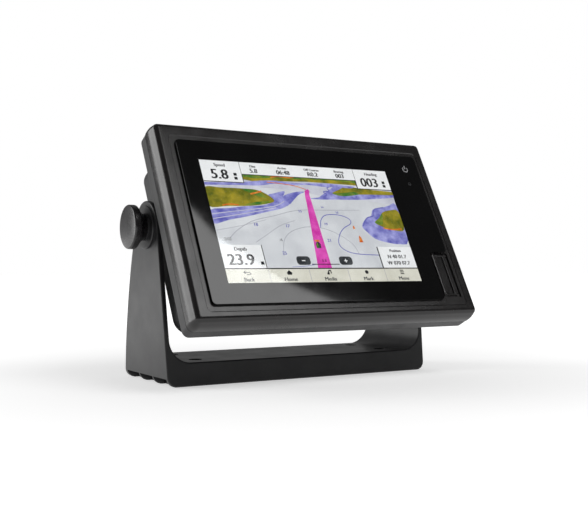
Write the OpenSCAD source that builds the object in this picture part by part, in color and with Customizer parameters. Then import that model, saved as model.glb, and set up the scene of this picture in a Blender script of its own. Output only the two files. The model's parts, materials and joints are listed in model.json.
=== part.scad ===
// Marine chartplotter display on a tilting bail bracket.
// Millimetres. +X to the right as seen from the front, -Y towards the viewer, +Z up.
// Origin: centre of the bracket's base, on the surface that it is screwed to.

/* [Head] */
// Width of the display head over its rim
head_w = 223; // [221:1:226]
// Height of the display head over its rim
head_h = 146.5; // [145:0.5:148]
// Radius of the rim's corners, seen from the front
head_r = 5; // [4.5:0.5:6]
// Width of the rear housing behind the rim
rear_w = 199; // [198:1:200]
// Height of the rear housing behind the rim
rear_h = 126; // [125:1:127]
// Depth of the rear face behind the cover glass
rear_depth = 55; // [54:0.5:58]
// How far the head leans back from upright
tilt = 28; // [10:1:50]

/* [Display] */
// Width of the cover glass
glass_w = 197.4; // [197:0.2:198]
// Height of the cover glass
glass_h = 120; // [119.6:0.2:120.4]
// Thickness of the cover glass
glass_t = 1.8; // [1.6:0.1:2]
// Width of the lit picture area
picture_w = 152.4; // [150:0.2:153]
// Height of the lit picture area
picture_h = 91.4; // [90:0.2:92]
// Sideways offset of the picture from the head's centre
picture_x = -8.2; // [-9:0.1:-8]
// Upward offset of the picture from the head's centre
picture_z = -1.8; // [-2:0.1:-1.6]

/* [Bracket] */
// Width of the bracket's base
base_w = 210; // [208:1:212]
// Front to back depth of the bracket's base
base_d = 75; // [72:1:78]
// Height of the bracket's base
base_t = 15.5; // [15:0.5:17]
// Thickness of the bracket's arms
arm_t = 3.5; // [3:0.5:4]
// Height of the tilt axis above the mounting surface
pivot_z = 104; // [103:0.5:106]
// Distance of the tilt axis in front of the base's centre
pivot_front = 8; // [7:0.5:9]
// Sideways distance between the base's mounting screws
screw_dx = 154; // [150:1:156]
// Front to back distance between the base's mounting screws
screw_dy = 38; // [36:1:40]

/* [Knobs] */
// Outer radius of a clamping knob
knob_r = 14.7; // [14:0.1:15.5]
// Radius of a knob's steel stud
stud_r = 4; // [3.8:0.1:4.2]

/* [Card bay] */
// Width of the memory card door
door_w = 15.3; // [15:0.1:15.4]
// Height of the memory card door
door_h = 34; // [33.8:0.1:34.1]

/* [Hidden] */
$fn = 96;

// Cutters run past the faces that they open by this much
over = 1;

// Colours of the pieces
black_gloss = [0.05, 0.05, 0.055];
black_satin = [0.09, 0.09, 0.1];
rubber_grey = [0.13, 0.13, 0.13];
glass_black = [0.02, 0.02, 0.03];
board_green = [0.05, 0.28, 0.14];
tin_grey = [0.72, 0.72, 0.7];
steel_grey = [0.6, 0.6, 0.62];
gold = [0.83, 0.66, 0.3];
foil_white = [0.85, 0.85, 0.84];
ceramic = [0.8, 0.76, 0.66];
flex_amber = [0.7, 0.42, 0.12];

// Head frame: X to the right, Y back from the glass face, Z up along the glass,
// with its origin at the middle of the head. Depths below are Y values in it.
bezel_front = -1.5;
parting_front = 11.4;
parting_back = 11.8;
flange_wall = 19;
flange_back = 21.5;
wall = 2.5;
rear_r = 11;
rear_z = 6;
rear_round = 4;

// The rim: a round front edge, a long slight bulge over the side, and a hollow behind
side_wall = 3;
bead_out = 6.1;
bead_in = 8.3;
edge_inset = 1.4;
edge_round = head_r - edge_inset;
rim_core = 0.3;
bulge_depth = 9;
bulge_start = bezel_front + edge_round;
bulge_inset = edge_inset - 0.06;
bulge_r = ((bulge_depth - bulge_start) ^ 2 + bulge_inset ^ 2) / (2 * bulge_inset);
rim_hollow_y = 1.5;
flange_inset = 0.3;
flange_round = 2.5;

// The glass stands proud of a shallow ring inside the rim
glass_x = 0.4;
glass_z = -1.8;
glass_front = -3;
lip_w = 204;
lip_h = 127.8;
lip_r = 3.5;
ring_y = -1.1;

// Shelf behind the glass
shelf_y = -0.7;
shelf_back = 4.8;
window_w = 172;
window_h = 108;

// Card bay, measured in the head frame
door_gap = 0.5;
door_x0 = glass_x + glass_w / 2 - door_w - 0.2;
door_x1 = door_x0 + door_w;
door_z0 = -58.9;
door_z1 = door_z0 + door_h;
door_front = -0.2;
door_back = 1.6;
door_floor = 2.3;
door_grip_y = -3;
door_pin_x = door_x1 - 1.1;
door_pin_y = 0.8;
door_pin_r = 0.6;
ear_h = 2.4;
ear_w = 2.3;
bay_x = [87.5, 95.7];
bay_z = [-52.4, -26.6];
bay_back = 10.6;
bay_wall = 1.4;
card_x = 91.6;
card_z = -39.4;
card_t = 2.1;
card_h = 24;
card_y = [5.5, 37.5];
card_gap = 0.15;

// Tilt axis in the head frame
pivot_y = 45;
pivot_up = 19;
pad_r = 9;
pad_x = 103.2;
washer_t = 1;
insert_r = 6.5;
insert_x = [90, 103.2];

// Bracket
arm_top_r = 17.6;
arm_flare = 3.2;
base_r = 6.5;
inner_r = 15;
arm_slope = arm_flare / pivot_z;
arm_pad_r = 14.5;
arm_pad_in = pad_x + washer_t;
arm_pad_out = 109.3;
arm_hole_r = stud_r + 0.5;
back_bow_y = -295;
back_bow_z = -28.7;
axis_y = -pivot_front;
back_bow_r = norm([axis_y - back_bow_y, pivot_z - back_bow_z]) + arm_top_r;

// Knobs
knob_washer_t = 1;
knob_base = arm_pad_out + knob_washer_t;
knob_head = 115.3;
knob_rim = 120;
knob_face = 121.2;
knob_crown = 122.2;
knob_edge = 1.2;
neck_r = 8.5;
skirt_r = 12.6;
stud_x = [92.5, 118.5];

// Rear sockets
pocket_w = 84;
pocket_h = 32;
pocket_z = -20;
pocket_floor = 44;
socket_end = rear_depth + 2;
pin_end = pocket_floor + 6.5;
power_x = -18;
power_r = 9;
bus_x = 18;
bus_r = 6;

// Boards and display stack
lcd_w = 166;
lcd_h = 102;
lcd_y = [2.3, 3.9];
light_back = 8.9;
frame_back = 9.9;
board_y = [24, 25.6];
post_dx = 150;
post_dz = 90;
ear_dx = 179;
ear_dz = 80;
frame_screw_r = 1.25;
screw_head_r = 2.5;
screw_head_t = 1.6;
case_screw_r = 1.5;
case_boss_r = 2.9;
case_boss_in = 4.4;

// Points on the tilt axis and along it
function tangent_point(a, c, r) =
    let (d = norm(c - a), s = atan2(c[1] - a[1], c[0] - a[0]) + asin(r / d))
    a + sqrt(d * d - r * r) * [cos(s), sin(s)];

// Places of the case screws, as [x, z] in the head frame
function case_screw_places() = [
    for (s = [-1, 1], t = [-1, 0, 1]) [s * (head_w / 2 - case_boss_in), t * 58],
    for (s = [-1, 1]) [s * 52, case_boss_in - head_h / 2]
];

// Places of the four display frame screws and of the four board posts
function frame_screw_places() = [
    for (s = [-1, 1], t = [-1, 1]) [picture_x + s * ear_dx / 2, picture_z + t * ear_dz / 2]
];
function post_places() = [
    for (s = [-1, 1], t = [-1, 1]) [picture_x + s * post_dx / 2, picture_z + t * post_dz / 2]
];

// ---- Building blocks ----

// Puts a piece from the head frame into its place on the bracket
module in_head() {
    translate([0, axis_y, pivot_z])
        rotate([-tilt, 0, 0])
            translate([0, -pivot_y, -pivot_up])
                children();
}

// Rectangle with round corners, centred
module round_rect(w, h, r) {
    square([w - 2 * r, h], center = true);
    square([w, h - 2 * r], center = true);
    for (s = [-1, 1], t = [-1, 1])
        translate([s * (w / 2 - r), t * (h / 2 - r)])
            circle(r);
}

// Plate parallel to the glass, between two depths
module plate(w, h, r, y0, y1) {
    translate([0, y1, 0])
        rotate([90, 0, 0])
            linear_extrude(y1 - y0)
                round_rect(w, h, r);
}

// Box between two corners
module block(a, b) {
    translate(a)
        cube(b - a);
}

// Cylinder along Y, between two depths, at a place [x, z]
module rod_y(place, r, y0, y1) {
    translate([place[0], y1, place[1]])
        rotate([90, 0, 0])
            cylinder(h = y1 - y0, r = r);
}

// Cylinder along X, between two distances from the middle, on the side s
module rod_x(s, r, x0, x1) {
    mirror([s < 0 ? 1 : 0, 0, 0])
        translate([x0, 0, 0])
            rotate([0, 90, 0])
                cylinder(h = x1 - x0, r = r);
}

// Sweeps a section round a rectangle with round corners.
// The section's X is the distance out from the corner arcs' centre, its Y is the depth.
module sweep_round(w, h, r) {
    for (s = [0, 1]) {
        mirror([s, 0, 0])
            translate([w / 2 - r, 0, r - h / 2])
                linear_extrude(h - 2 * r)
                    children();
        mirror([0, 0, s])
            translate([w / 2 - r, 0, h / 2 - r])
                rotate([0, -90, 0])
                    linear_extrude(w - 2 * r)
                        children();
        for (t = [0, 1])
            mirror([s, 0, 0])
                mirror([0, 0, t])
                    translate([w / 2 - r, 0, r - h / 2])
                        rotate([-90, 0, 0])
                            rotate_extrude(angle = 90)
                                children();
    }
}

// Moves a child from the head frame's origin to the tilt axis
module at_pivot() {
    translate([0, pivot_y, pivot_up])
        children();
}

// The glass outline, with the corner that is cut away for the card door
module glass_outline(y0, y1, inset) {
    difference() {
        translate([glass_x, 0, glass_z])
            plate(glass_w - 2 * inset, glass_h - 2 * inset, 3, y0, y1);
        block([door_x0 - door_gap - inset, y0 - over, -glass_h],
              [glass_w, y1 + over, door_z1 + door_gap + inset]);
    }
}

// ---- Bracket ----

// Front view of the bracket: a U with flared arms and round corners
module bracket_front() {
    top = pivot_z + 2 * arm_top_r;
    inner_x = base_w / 2 - arm_t + arm_slope * (base_t + inner_r);
    blend = 0.05;
    difference() {
        polygon([
            [-base_w / 2, 0], [base_w / 2, 0],
            [base_w / 2 + arm_slope * top, top], [-base_w / 2 - arm_slope * top, top]
        ]);
        for (s = [0, 1])
            mirror([s, 0])
                difference() {
                    translate([base_w / 2 - base_r, -over])
                        square([2 * base_r, base_r + over]);
                    translate([base_w / 2 - base_r, base_r])
                        circle(base_r + blend);
                }
        polygon([
            [inner_r - inner_x, base_t], [inner_x - inner_r, base_t],
            [inner_x, base_t + inner_r], [inner_x + arm_slope * top, base_t + inner_r + top],
            [-inner_x - arm_slope * top, base_t + inner_r + top], [-inner_x, base_t + inner_r]
        ]);
        for (s = [-1, 1])
            translate([s * (inner_x - inner_r), base_t + inner_r])
                circle(inner_r);
    }
}

// Side view of the bracket: it tapers up to a round end about the tilt axis
module bracket_side() {
    axis = [axis_y, pivot_z];
    foot = [-base_d / 2, 0];
    bow = [back_bow_y, back_bow_z];
    back = axis + arm_top_r * (axis - bow) / norm(axis - bow);
    translate(axis)
        circle(arm_top_r);
    intersection() {
        polygon([foot, tangent_point(foot, axis, arm_top_r), axis, back,
                 [base_d, back[1]], [base_d, 0]]);
        translate(bow)
            circle(back_bow_r, $fn = 360);
    }
}

// Pockets that open through the base's lower outer corner, between thin ribs
module corner_pockets() {
    count = 3;
    rib = 1.6;
    front = 2;
    pitch = (base_d - 2 * front - rib) / count;
    for (s = [-1, 1], i = [0 : count - 1])
        mirror([s < 0 ? 1 : 0, 0, 0])
            block([base_w / 2 - 9, front - base_d / 2 + rib / 2 + i * pitch, -over],
                  [base_w / 2 + over, front - base_d / 2 - rib / 2 + (i + 1) * pitch, 5.2]);
}

// Hollows under the base, which leave its skin, its walls and its screw bosses
module base_hollows() {
    skin = 3;
    rib = 2;
    boss_half = 10;
    inside_y = base_d / 2 - 4;
    boss_x = screw_dx / 2;
    for (s = [0, 1])
        mirror([s, 0, 0]) {
            block([rib / 2, -inside_y, -over], [boss_x - boss_half, inside_y, base_t - skin]);
            block([boss_x - boss_half + rib, boss_half - screw_dy / 2, -over],
                  [boss_x + boss_half, screw_dy / 2 - boss_half, base_t - skin]);
        }
}

module bracket() {
    color(black_satin)
        difference() {
            union() {
                intersection() {
                    translate([0, base_d, 0])
                        rotate([90, 0, 0])
                            linear_extrude(2 * base_d)
                                bracket_front();
                    translate([-base_w, 0, 0])
                        rotate([90, 0, 90])
                            linear_extrude(2 * base_w)
                                bracket_side();
                }
                for (s = [-1, 1])
                    translate([0, axis_y, pivot_z])
                        rod_x(s, arm_pad_r, arm_pad_in, arm_pad_out);
            }
            corner_pockets();
            base_hollows();
            for (s = [-1, 1])
                translate([0, axis_y, pivot_z])
                    rod_x(s, arm_hole_r, arm_pad_in - over, arm_pad_out + over);
            for (s = [-1, 1], t = [-1, 1])
                translate([s * screw_dx / 2, t * screw_dy / 2, -over]) {
                    cylinder(h = base_t, r = 2.6);
                    translate([0, 0, 4 + over])
                        cylinder(h = base_t, r = 4.6);
                }
        }
}

// ---- Head: front ----

// Section of the rim's outer edge: a round front corner and a bulged side
module rim_section() {
    intersection() {
        translate([rim_core, bezel_front])
            square([head_r + over, parting_front - bezel_front]);
        union() {
            translate([0, bulge_start])
                circle(edge_round);
            intersection() {
                translate([0, bulge_start - 0.6])
                    square([head_r + over, parting_front]);
                translate([head_r - bulge_r, bulge_depth])
                    circle(bulge_r, $fn = 240);
            }
        }
    }
}

// Hollow round the rim, open at the parting, between its side wall and its inner bead
module rim_hollow(y0, y1) {
    difference() {
        plate(head_w - 2 * side_wall, head_h - 2 * side_wall, head_r - side_wall, y0, y1);
        plate(head_w - 2 * bead_out, head_h - 2 * bead_out, 1, y0 - over, y1 + over);
    }
}

// Ears that hold the door's hinge pin
module door_ears() {
    for (z = [door_z0, door_z1 - ear_h])
        block([door_pin_x - ear_w / 2, door_front, z], [door_pin_x + ear_w / 2, door_floor, z + ear_h]);
}

module front_bezel() {
    color(black_gloss)
        in_head()
            difference() {
                union() {
                    difference() {
                        union() {
                            sweep_round(head_w, head_h, head_r)
                                rim_section();
                            plate(head_w - 2 * head_r + 1, head_h - 2 * head_r + 1, 0.5,
                                  bezel_front, parting_front);
                        }
                        translate([glass_x, 0, glass_z])
                            plate(lip_w, lip_h, lip_r, bezel_front - over, ring_y);
                        glass_outline(ring_y - over, shelf_y, -0.3);
                        block([door_x0 - door_gap, ring_y - over, door_z0 - door_gap],
                              [door_x1 + 2 * door_gap, door_floor, door_z1 + door_gap]);
                        plate(head_w - 2 * bead_in, head_h - 2 * bead_in, 1, shelf_back, parting_front + over);
                        rim_hollow(rim_hollow_y, parting_front + over);
                    }
                    for (p = case_screw_places())
                        rod_y(p, case_boss_r, rim_hollow_y, parting_front);
                    for (p = frame_screw_places())
                        rod_y(p, 3, shelf_back, light_back);
                    door_ears();
                    block([bay_x[0] - bay_wall, shelf_back, bay_z[0] - bay_wall],
                          [bay_x[1] + bay_wall, bay_back, bay_z[1] + bay_wall]);
                }
                translate([picture_x, 0, picture_z])
                    plate(window_w, window_h, 3, shelf_y - over, shelf_back + over);
                block([bay_x[0], shelf_y - over, bay_z[0]], [bay_x[1], bay_back + over, bay_z[1]]);
                for (p = case_screw_places())
                    rod_y(p, case_screw_r, 4.5, parting_front + over);
                for (p = frame_screw_places())
                    rod_y(p, frame_screw_r, shelf_back, light_back + over);
                translate([door_pin_x, door_pin_y, door_z0 - over])
                    cylinder(h = door_h + 2 * over, r = door_pin_r);
            }
}

module touch_glass() {
    color(glass_black)
        in_head()
            glass_outline(glass_front, glass_front + glass_t, 0);
}

module glass_adhesive() {
    color(rubber_grey)
        in_head()
            difference() {
                glass_outline(glass_front + glass_t, shelf_y, 0.8);
                translate([picture_x, 0, picture_z])
                    plate(window_w, window_h, 3, glass_front, shelf_back);
            }
}

module lcd_panel() {
    color(steel_grey)
        in_head()
            translate([picture_x, 0, picture_z])
                plate(lcd_w, lcd_h, 1, lcd_y[0], lcd_y[1]);
}

module backlight() {
    color(foil_white)
        in_head()
            translate([picture_x, 0, picture_z])
                plate(lcd_w, lcd_h, 1, lcd_y[1], light_back);
}

module display_frame() {
    margin = 2.5;
    color(steel_grey)
        in_head() {
            difference() {
                union() {
                    translate([picture_x, 0, picture_z])
                        plate(lcd_w + 2 * margin, lcd_h + 2 * margin, 2, shelf_back + 0.2, frame_back);
                    for (p = frame_screw_places())
                        translate([p[0], 0, p[1]])
                            plate(9, 9, 2, light_back, frame_back);
                    for (p = post_places())
                        rod_y(p, 2.8, frame_back, board_y[0]);
                }
                translate([picture_x, 0, picture_z])
                    plate(lcd_w + 2 * margin - 2, lcd_h + 2 * margin - 2, 2, 0, light_back);
                for (p = frame_screw_places())
                    rod_y(p, frame_screw_r + 0.3, light_back - over, frame_back + over);
                for (p = post_places())
                    rod_y(p, frame_screw_r, 17, board_y[0] + over);
            }
        }
}

module frame_screws() {
    color(steel_grey)
        in_head()
            for (p = frame_screw_places()) {
                rod_y(p, frame_screw_r, 5.6, frame_back);
                rod_y(p, screw_head_r, frame_back, frame_back + screw_head_t);
            }
}

// Strip under the glass edge with the power key's pad and the light sensor
module key_board() {
    sensor_x = 86.6;
    color(board_green)
        in_head() {
            block([sensor_x - 1.6, shelf_back, 14], [sensor_x + 6, shelf_back + 0.8, 50]);
            rod_y([sensor_x, 33.2], 1.2, shelf_back + 0.8, shelf_back + 2);
        }
}

module display_flex() {
    low = picture_z - lcd_h / 2 - 0.9;
    color(flex_amber)
        in_head() {
            block([-45, frame_back + 0.1, low], [-10, board_y[0], low + 0.3]);
            block([-45, board_y[0] - 0.3, low], [-10, board_y[0], low + 7]);
        }
}

module touch_flex() {
    side = picture_x - lcd_w / 2 - 4.4;
    color(flex_amber)
        in_head() {
            block([side, frame_back + 0.1, -12], [side + 0.3, board_y[0], 4]);
            block([side, board_y[0] - 0.3, -12], [side + 8, board_y[0], 4]);
        }
}

// ---- Head: electronics ----

module main_board() {
    color(board_green)
        in_head()
            difference() {
                translate([picture_x, 0, picture_z])
                    plate(170, 100, 3, board_y[0], board_y[1]);
                for (p = post_places())
                    rod_y(p, frame_screw_r + 0.3, board_y[0] - over, board_y[1] + over);
            }
}

module board_screws() {
    color(steel_grey)
        in_head()
            for (p = post_places()) {
                rod_y(p, frame_screw_r, 18, board_y[1]);
                rod_y(p, screw_head_r, board_y[1], board_y[1] + screw_head_t);
            }
}

module processor_shield() {
    color(tin_grey)
        in_head()
            difference() {
                block([-45, board_y[1], -7], [5, board_y[1] + 3.4, 28]);
                block([-44.6, board_y[1] - over, -6.6], [4.6, board_y[1] + 3, 27.6]);
            }
}

module thermal_pad() {
    color(foil_white)
        in_head()
            block([-36, board_y[1] + 3.4, -5], [-4, board_y[1] + 4.4, 24]);
}

module heat_spreader() {
    spreader_y = board_y[1] + 4.4;
    color(tin_grey)
        in_head() {
            block([-70, spreader_y, -7], [35, spreader_y + 2, 34]);
            for (x = [-66, 31], z = [-3, 30])
                rod_y([x, z], 3, board_y[1], spreader_y);
        }
}

module antenna_patch() {
    color(ceramic)
        in_head()
            block([-50, 30, 52.5], [-30, 50, 56.5]);
}

module antenna_board() {
    color(board_green)
        in_head()
            block([-56, 28, 51.5], [-24, 52, 52.5]);
}

// Coaxial lead from the antenna board to the main board
module antenna_coax() {
    lead_r = 0.8;
    bend = 4;
    color(gold)
        in_head()
            translate([-28, 40, 51.5]) {
                translate([0, 0, -bend])
                    cylinder(h = bend, r = lead_r);
                translate([0, -bend, -bend])
                    rotate([0, 90, 0])
                        rotate_extrude(angle = 90)
                            translate([bend, 0])
                                circle(lead_r);
                translate([0, 0, -2 * bend])
                    rod_y([0, 0], lead_r, board_y[1] + 2 - 40, -bend);
                translate([0, 0, -2 * bend])
                    rod_y([0, 0], 2, board_y[1] - 40, board_y[1] + 2 - 40);
            }
}

module beeper() {
    color(rubber_grey)
        in_head()
            difference() {
                rod_y([58, -24], 6, board_y[1], board_y[1] + 6.5);
                rod_y([58, -24], 1.2, board_y[1] + 5, board_y[1] + 6.5 + over);
            }
}

module backup_battery() {
    color(tin_grey)
        in_head()
            rod_y([58, 4], 6.2, board_y[1], board_y[1] + 3.2);
}

// ---- Head: memory card ----

module card_board() {
    color(board_green)
        in_head()
            block([94, 12, -50.2], [95.6, 44, -25.7]);
}

module card_reader() {
    color(tin_grey)
        in_head()
            difference() {
                block([card_x - 1.9, 12, card_z - 12.7], [94, 42, card_z + 12.7]);
                block([card_x - card_t / 2 - card_gap, 12 - over, card_z - card_h / 2 - card_gap],
                      [card_x + card_t / 2 + card_gap, 40, card_z + card_h / 2 + card_gap]);
            }
}

module memory_card() {
    corner = 4;
    color(black_gloss)
        in_head()
            translate([card_x - card_t / 2, 0, card_z])
                rotate([90, 0, 90])
                    linear_extrude(card_t)
                        polygon([
                            [card_y[0], -card_h / 2], [card_y[1], -card_h / 2],
                            [card_y[1], card_h / 2 - corner], [card_y[1] - corner, card_h / 2],
                            [card_y[0], card_h / 2]
                        ]);
}

// Door over the memory card, with a raised grip along its free edge
module card_door() {
    notch = ear_h + 0.3;
    color(black_gloss)
        in_head()
            difference() {
                union() {
                    block([door_x0, door_front, door_z0], [door_x1, door_back, door_z1]);
                    block([door_x0, door_grip_y, door_z0 + 1], [door_x0 + 2.6, door_front, door_z1 - 1]);
                }
                for (z = [door_z0 - over, door_z1 - notch])
                    block([door_pin_x - ear_w / 2 - 0.6, -over, z],
                          [door_x1 + over, door_back + over, z + notch + over]);
                translate([door_x0 + 4, -over, door_z0 + 2.5])
                    cube([8, over + 0.3, door_h - 5]);
                translate([door_pin_x, door_pin_y, door_z0 - over])
                    cylinder(h = door_h + 2 * over, r = door_pin_r + 0.05);
            }
}

// Rubber ring on the door's back
module door_seal() {
    color(rubber_grey)
        in_head()
            difference() {
                block([bay_x[0] - 2, door_back, bay_z[0] - 1.6], [bay_x[1] + 0.8, door_back + 0.6, bay_z[1] + 1.2]);
                block([bay_x[0] - 0.4, door_back - over, bay_z[0] - 0.2],
                      [bay_x[1] - 0.8, door_back + over, bay_z[1] + 0.2]);
            }
}

module door_pin() {
    color(steel_grey)
        in_head()
            translate([door_pin_x, door_pin_y, door_z0 + 0.2])
                cylinder(h = door_h - 0.4, r = door_pin_r);
}

// ---- Head: rear ----

module case_seal() {
    color(rubber_grey)
        in_head()
            difference() {
                plate(head_w - 2 * bead_out - 0.4, head_h - 2 * bead_out - 0.4, 1, parting_front, parting_back);
                plate(head_w - 2 * bead_in + 0.4, head_h - 2 * bead_in + 0.4, 1,
                      parting_front - over, parting_back + over);
            }
}

// Round rear edge of a body that is w by h with corner radius r, between two depths
module rear_edge(w, h, r, round_r, front, back) {
    plate(w - 2 * round_r, h - 2 * round_r, r - round_r, front, back);
    sweep_round(w, h, r)
        intersection() {
            translate([r - round_r, back - round_r])
                circle(round_r);
            translate([r - round_r - 0.5, back - round_r - 0.5])
                square(round_r + over);
        }
}

// Body behind the flange, drawn smaller by the inset all round
module rear_body(inset, front) {
    w = rear_w - 2 * inset;
    h = rear_h - 2 * inset;
    r = rear_r - inset;
    translate([0, 0, rear_z]) {
        plate(w, h, r, front, rear_depth - rear_round);
        rear_edge(w, h, r, rear_round - inset, front, rear_depth - inset);
    }
}

// Flange that carries on the bezel's side, with the same hollow behind the seal's bead
module flange() {
    w = head_w - 2 * flange_inset;
    h = head_h - 2 * flange_inset;
    r = head_r - flange_inset;
    difference() {
        union() {
            plate(w, h, r, parting_back, flange_back - flange_round);
            rear_edge(w, h, r, flange_round, parting_back, flange_back);
        }
        plate(head_w - 2 * bead_in, head_h - 2 * bead_in, 1, parting_back - over, flange_wall);
        rim_hollow(parting_back - over, flange_wall);
    }
}

module rear_housing() {
    color(black_satin)
        in_head()
            difference() {
                union() {
                    flange();
                    rear_body(0, flange_wall);
                    for (p = case_screw_places())
                        rod_y(p, case_boss_r, parting_back, flange_back);
                    for (s = [-1, 1])
                        at_pivot()
                            rod_x(s, pad_r, rear_w / 2 - wall, pad_x);
                }
                difference() {
                    rear_body(wall, flange_wall - over);
                    for (s = [-1, 1])
                        at_pivot()
                            rod_x(s, pad_r, insert_x[0] - 2, pad_x);
                    translate([0, 0, pocket_z])
                        plate(pocket_w + 2 * wall, pocket_h + 2 * wall, 4, pocket_floor - wall, rear_depth);
                    for (x = [-57.5, -24])
                        block([x, 38, 46], [x + 1.5, rear_depth - 1, 56]);
                }
                for (p = case_screw_places()) {
                    rod_y(p, case_screw_r + 0.2, parting_back - over, flange_back + over);
                    rod_y(p, screw_head_r + 0.2, flange_back - 1.8, flange_back + over);
                }
                for (s = [-1, 1])
                    at_pivot()
                        rod_x(s, insert_r, insert_x[0], pad_x + over);
                translate([0, 0, pocket_z])
                    plate(pocket_w, pocket_h, 3, pocket_floor, rear_depth + over);
                rod_y([power_x, pocket_z], power_r + 0.3, pocket_floor - wall - over, pocket_floor + over);
                rod_y([bus_x, pocket_z], bus_r + 0.3, pocket_floor - wall - over, pocket_floor + over);
                rod_y([64, 34], 6, rear_depth - 1.2, rear_depth + over);
                rod_y([64, 34], 2, rear_depth - wall - over, rear_depth);
                block([-30, rear_depth - 0.3, 0], [30, rear_depth + over, 26]);
            }
}

module case_screws() {
    color(steel_grey)
        in_head()
            for (p = case_screw_places())
                difference() {
                    union() {
                        rod_y(p, case_screw_r, 5, flange_back - 1.8);
                        rod_y(p, screw_head_r, flange_back - 1.8, flange_back - 0.3);
                    }
                    translate([p[0], flange_back, p[1]])
                        rotate([90, 0, 0])
                            cylinder(h = 1.2, r = 1.15, $fn = 6);
                }
}

// Round socket body on the main board, with a collar that stops behind the pocket's floor
module socket_body(x, r, bore_r) {
    translate([x, 0, pocket_z])
        difference() {
            union() {
                rod_y([0, 0], r - 0.6, board_y[1], socket_end - 1);
                rod_y([0, 0], r, pocket_floor + 0.8, socket_end);
                rod_y([0, 0], r + 2.5, board_y[1], pocket_floor - wall - 0.8);
            }
            rod_y([0, 0], bore_r, pocket_floor + 1, socket_end + over);
        }
}

// Contact pins on a circle, and one in the middle
module socket_pins(x, ring_r, count, pin_r) {
    for (i = [0 : count - 1])
        rod_y([x + ring_r * cos(360 * i / count), pocket_z + ring_r * sin(360 * i / count)],
              pin_r, pocket_floor + 1, pin_end);
    rod_y([x, pocket_z], pin_r, pocket_floor + 1, pin_end);
}

module power_socket() {
    color(black_satin)
        in_head() {
            socket_body(power_x, power_r, power_r - 1.5);
            block([power_x - 1, pocket_floor + 1, pocket_z + power_r - 2.6],
                  [power_x + 1, socket_end - 1, pocket_z + power_r - 1]);
        }
}

module power_pins() {
    color(gold)
        in_head() {
            socket_pins(power_x, 4.4, 8, 0.6);
        }
}

module bus_socket() {
    color(tin_grey)
        in_head()
            socket_body(bus_x, bus_r, bus_r - 1.4);
}

module bus_pins() {
    color(gold)
        in_head()
            socket_pins(bus_x, 2.6, 4, 0.5);
}

// Rubber rings between the sockets' collars and the housing
module socket_seals() {
    color(rubber_grey)
        in_head()
            for (p = [[power_x, power_r], [bus_x, bus_r]])
                difference() {
                    rod_y([p[0], pocket_z], p[1] + 2.3, pocket_floor - wall - 0.8, pocket_floor - wall);
                    rod_y([p[0], pocket_z], p[1] + 0.3, pocket_floor - 2 * wall, pocket_floor);
                }
}

module vent_plug() {
    color(rubber_grey)
        in_head()
            rod_y([64, 34], 5.8, rear_depth - 1.2, rear_depth - 0.2);
}

module rear_label() {
    color(foil_white)
        in_head()
            block([-29.5, rear_depth - 0.3, 0.5], [29.5, rear_depth - 0.1, 25.5]);
}

// ---- Tilt axis ----

// Threaded brass insert in the housing's pivot boss
module pivot_insert(s) {
    color(gold)
        in_head()
            at_pivot()
                difference() {
                    rod_x(s, insert_r, insert_x[0], insert_x[1]);
                    rod_x(s, stud_r + 0.05, insert_x[0] - over, insert_x[1] + over);
                }
}

// Rubber washer between the housing's boss and the arm
module friction_washer(s) {
    color(rubber_grey)
        in_head()
            at_pivot()
                difference() {
                    rod_x(s, pad_r, pad_x, arm_pad_in);
                    rod_x(s, arm_hole_r, pad_x - over, arm_pad_in + over);
                }
}

// Nylon washer under the knob, which travels with it
module knob_washer(s) {
    color(rubber_grey)
        in_head()
            at_pivot()
                difference() {
                    rod_x(s, neck_r + 0.6, arm_pad_out, knob_base);
                    rod_x(s, stud_r + 0.05, arm_pad_out - over, knob_base + over);
                }
}

module knob_stud(s) {
    color(steel_grey)
        in_head()
            at_pivot()
                rod_x(s, stud_r, stud_x[0], stud_x[1]);
}

// Half section of a knob: radius along X, distance from the middle of the head along Y
module knob_section() {
    polygon([
        [0, knob_base], [neck_r, knob_base], [skirt_r, knob_head], [knob_r, knob_head + knob_edge],
        [knob_r, knob_rim], [knob_r - knob_edge, knob_face], [0, knob_face]
    ]);
    translate([knob_r - knob_edge, knob_rim])
        circle(knob_edge);
}

// Shallow dome on a knob's face
module knob_dome() {
    rise = knob_crown - knob_face;
    dome_r = ((knob_r - knob_edge) ^ 2 + rise ^ 2) / (2 * rise);
    intersection() {
        translate([knob_crown - dome_r, 0, 0])
            sphere(dome_r, $fn = 240);
        rod_x(1, knob_r - knob_edge, knob_face - knob_edge, knob_crown + over);
    }
}

module knob(s) {
    color(black_satin)
        in_head()
            at_pivot()
                difference() {
                    mirror([s < 0 ? 1 : 0, 0, 0]) {
                        rotate([0, 90, 0])
                            rotate_extrude()
                                knob_section();
                        knob_dome();
                    }
                    rod_x(s, stud_r, knob_base - over, stud_x[1]);
                }
}

module pivot_insert_left() { pivot_insert(-1); }
module pivot_insert_right() { pivot_insert(1); }
module friction_washer_left() { friction_washer(-1); }
module friction_washer_right() { friction_washer(1); }
module knob_washer_left() { knob_washer(-1); }
module knob_washer_right() { knob_washer(1); }
module knob_stud_left() { knob_stud(-1); }
module knob_stud_right() { knob_stud(1); }
module knob_left() { knob(-1); }
module knob_right() { knob(1); }

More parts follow.
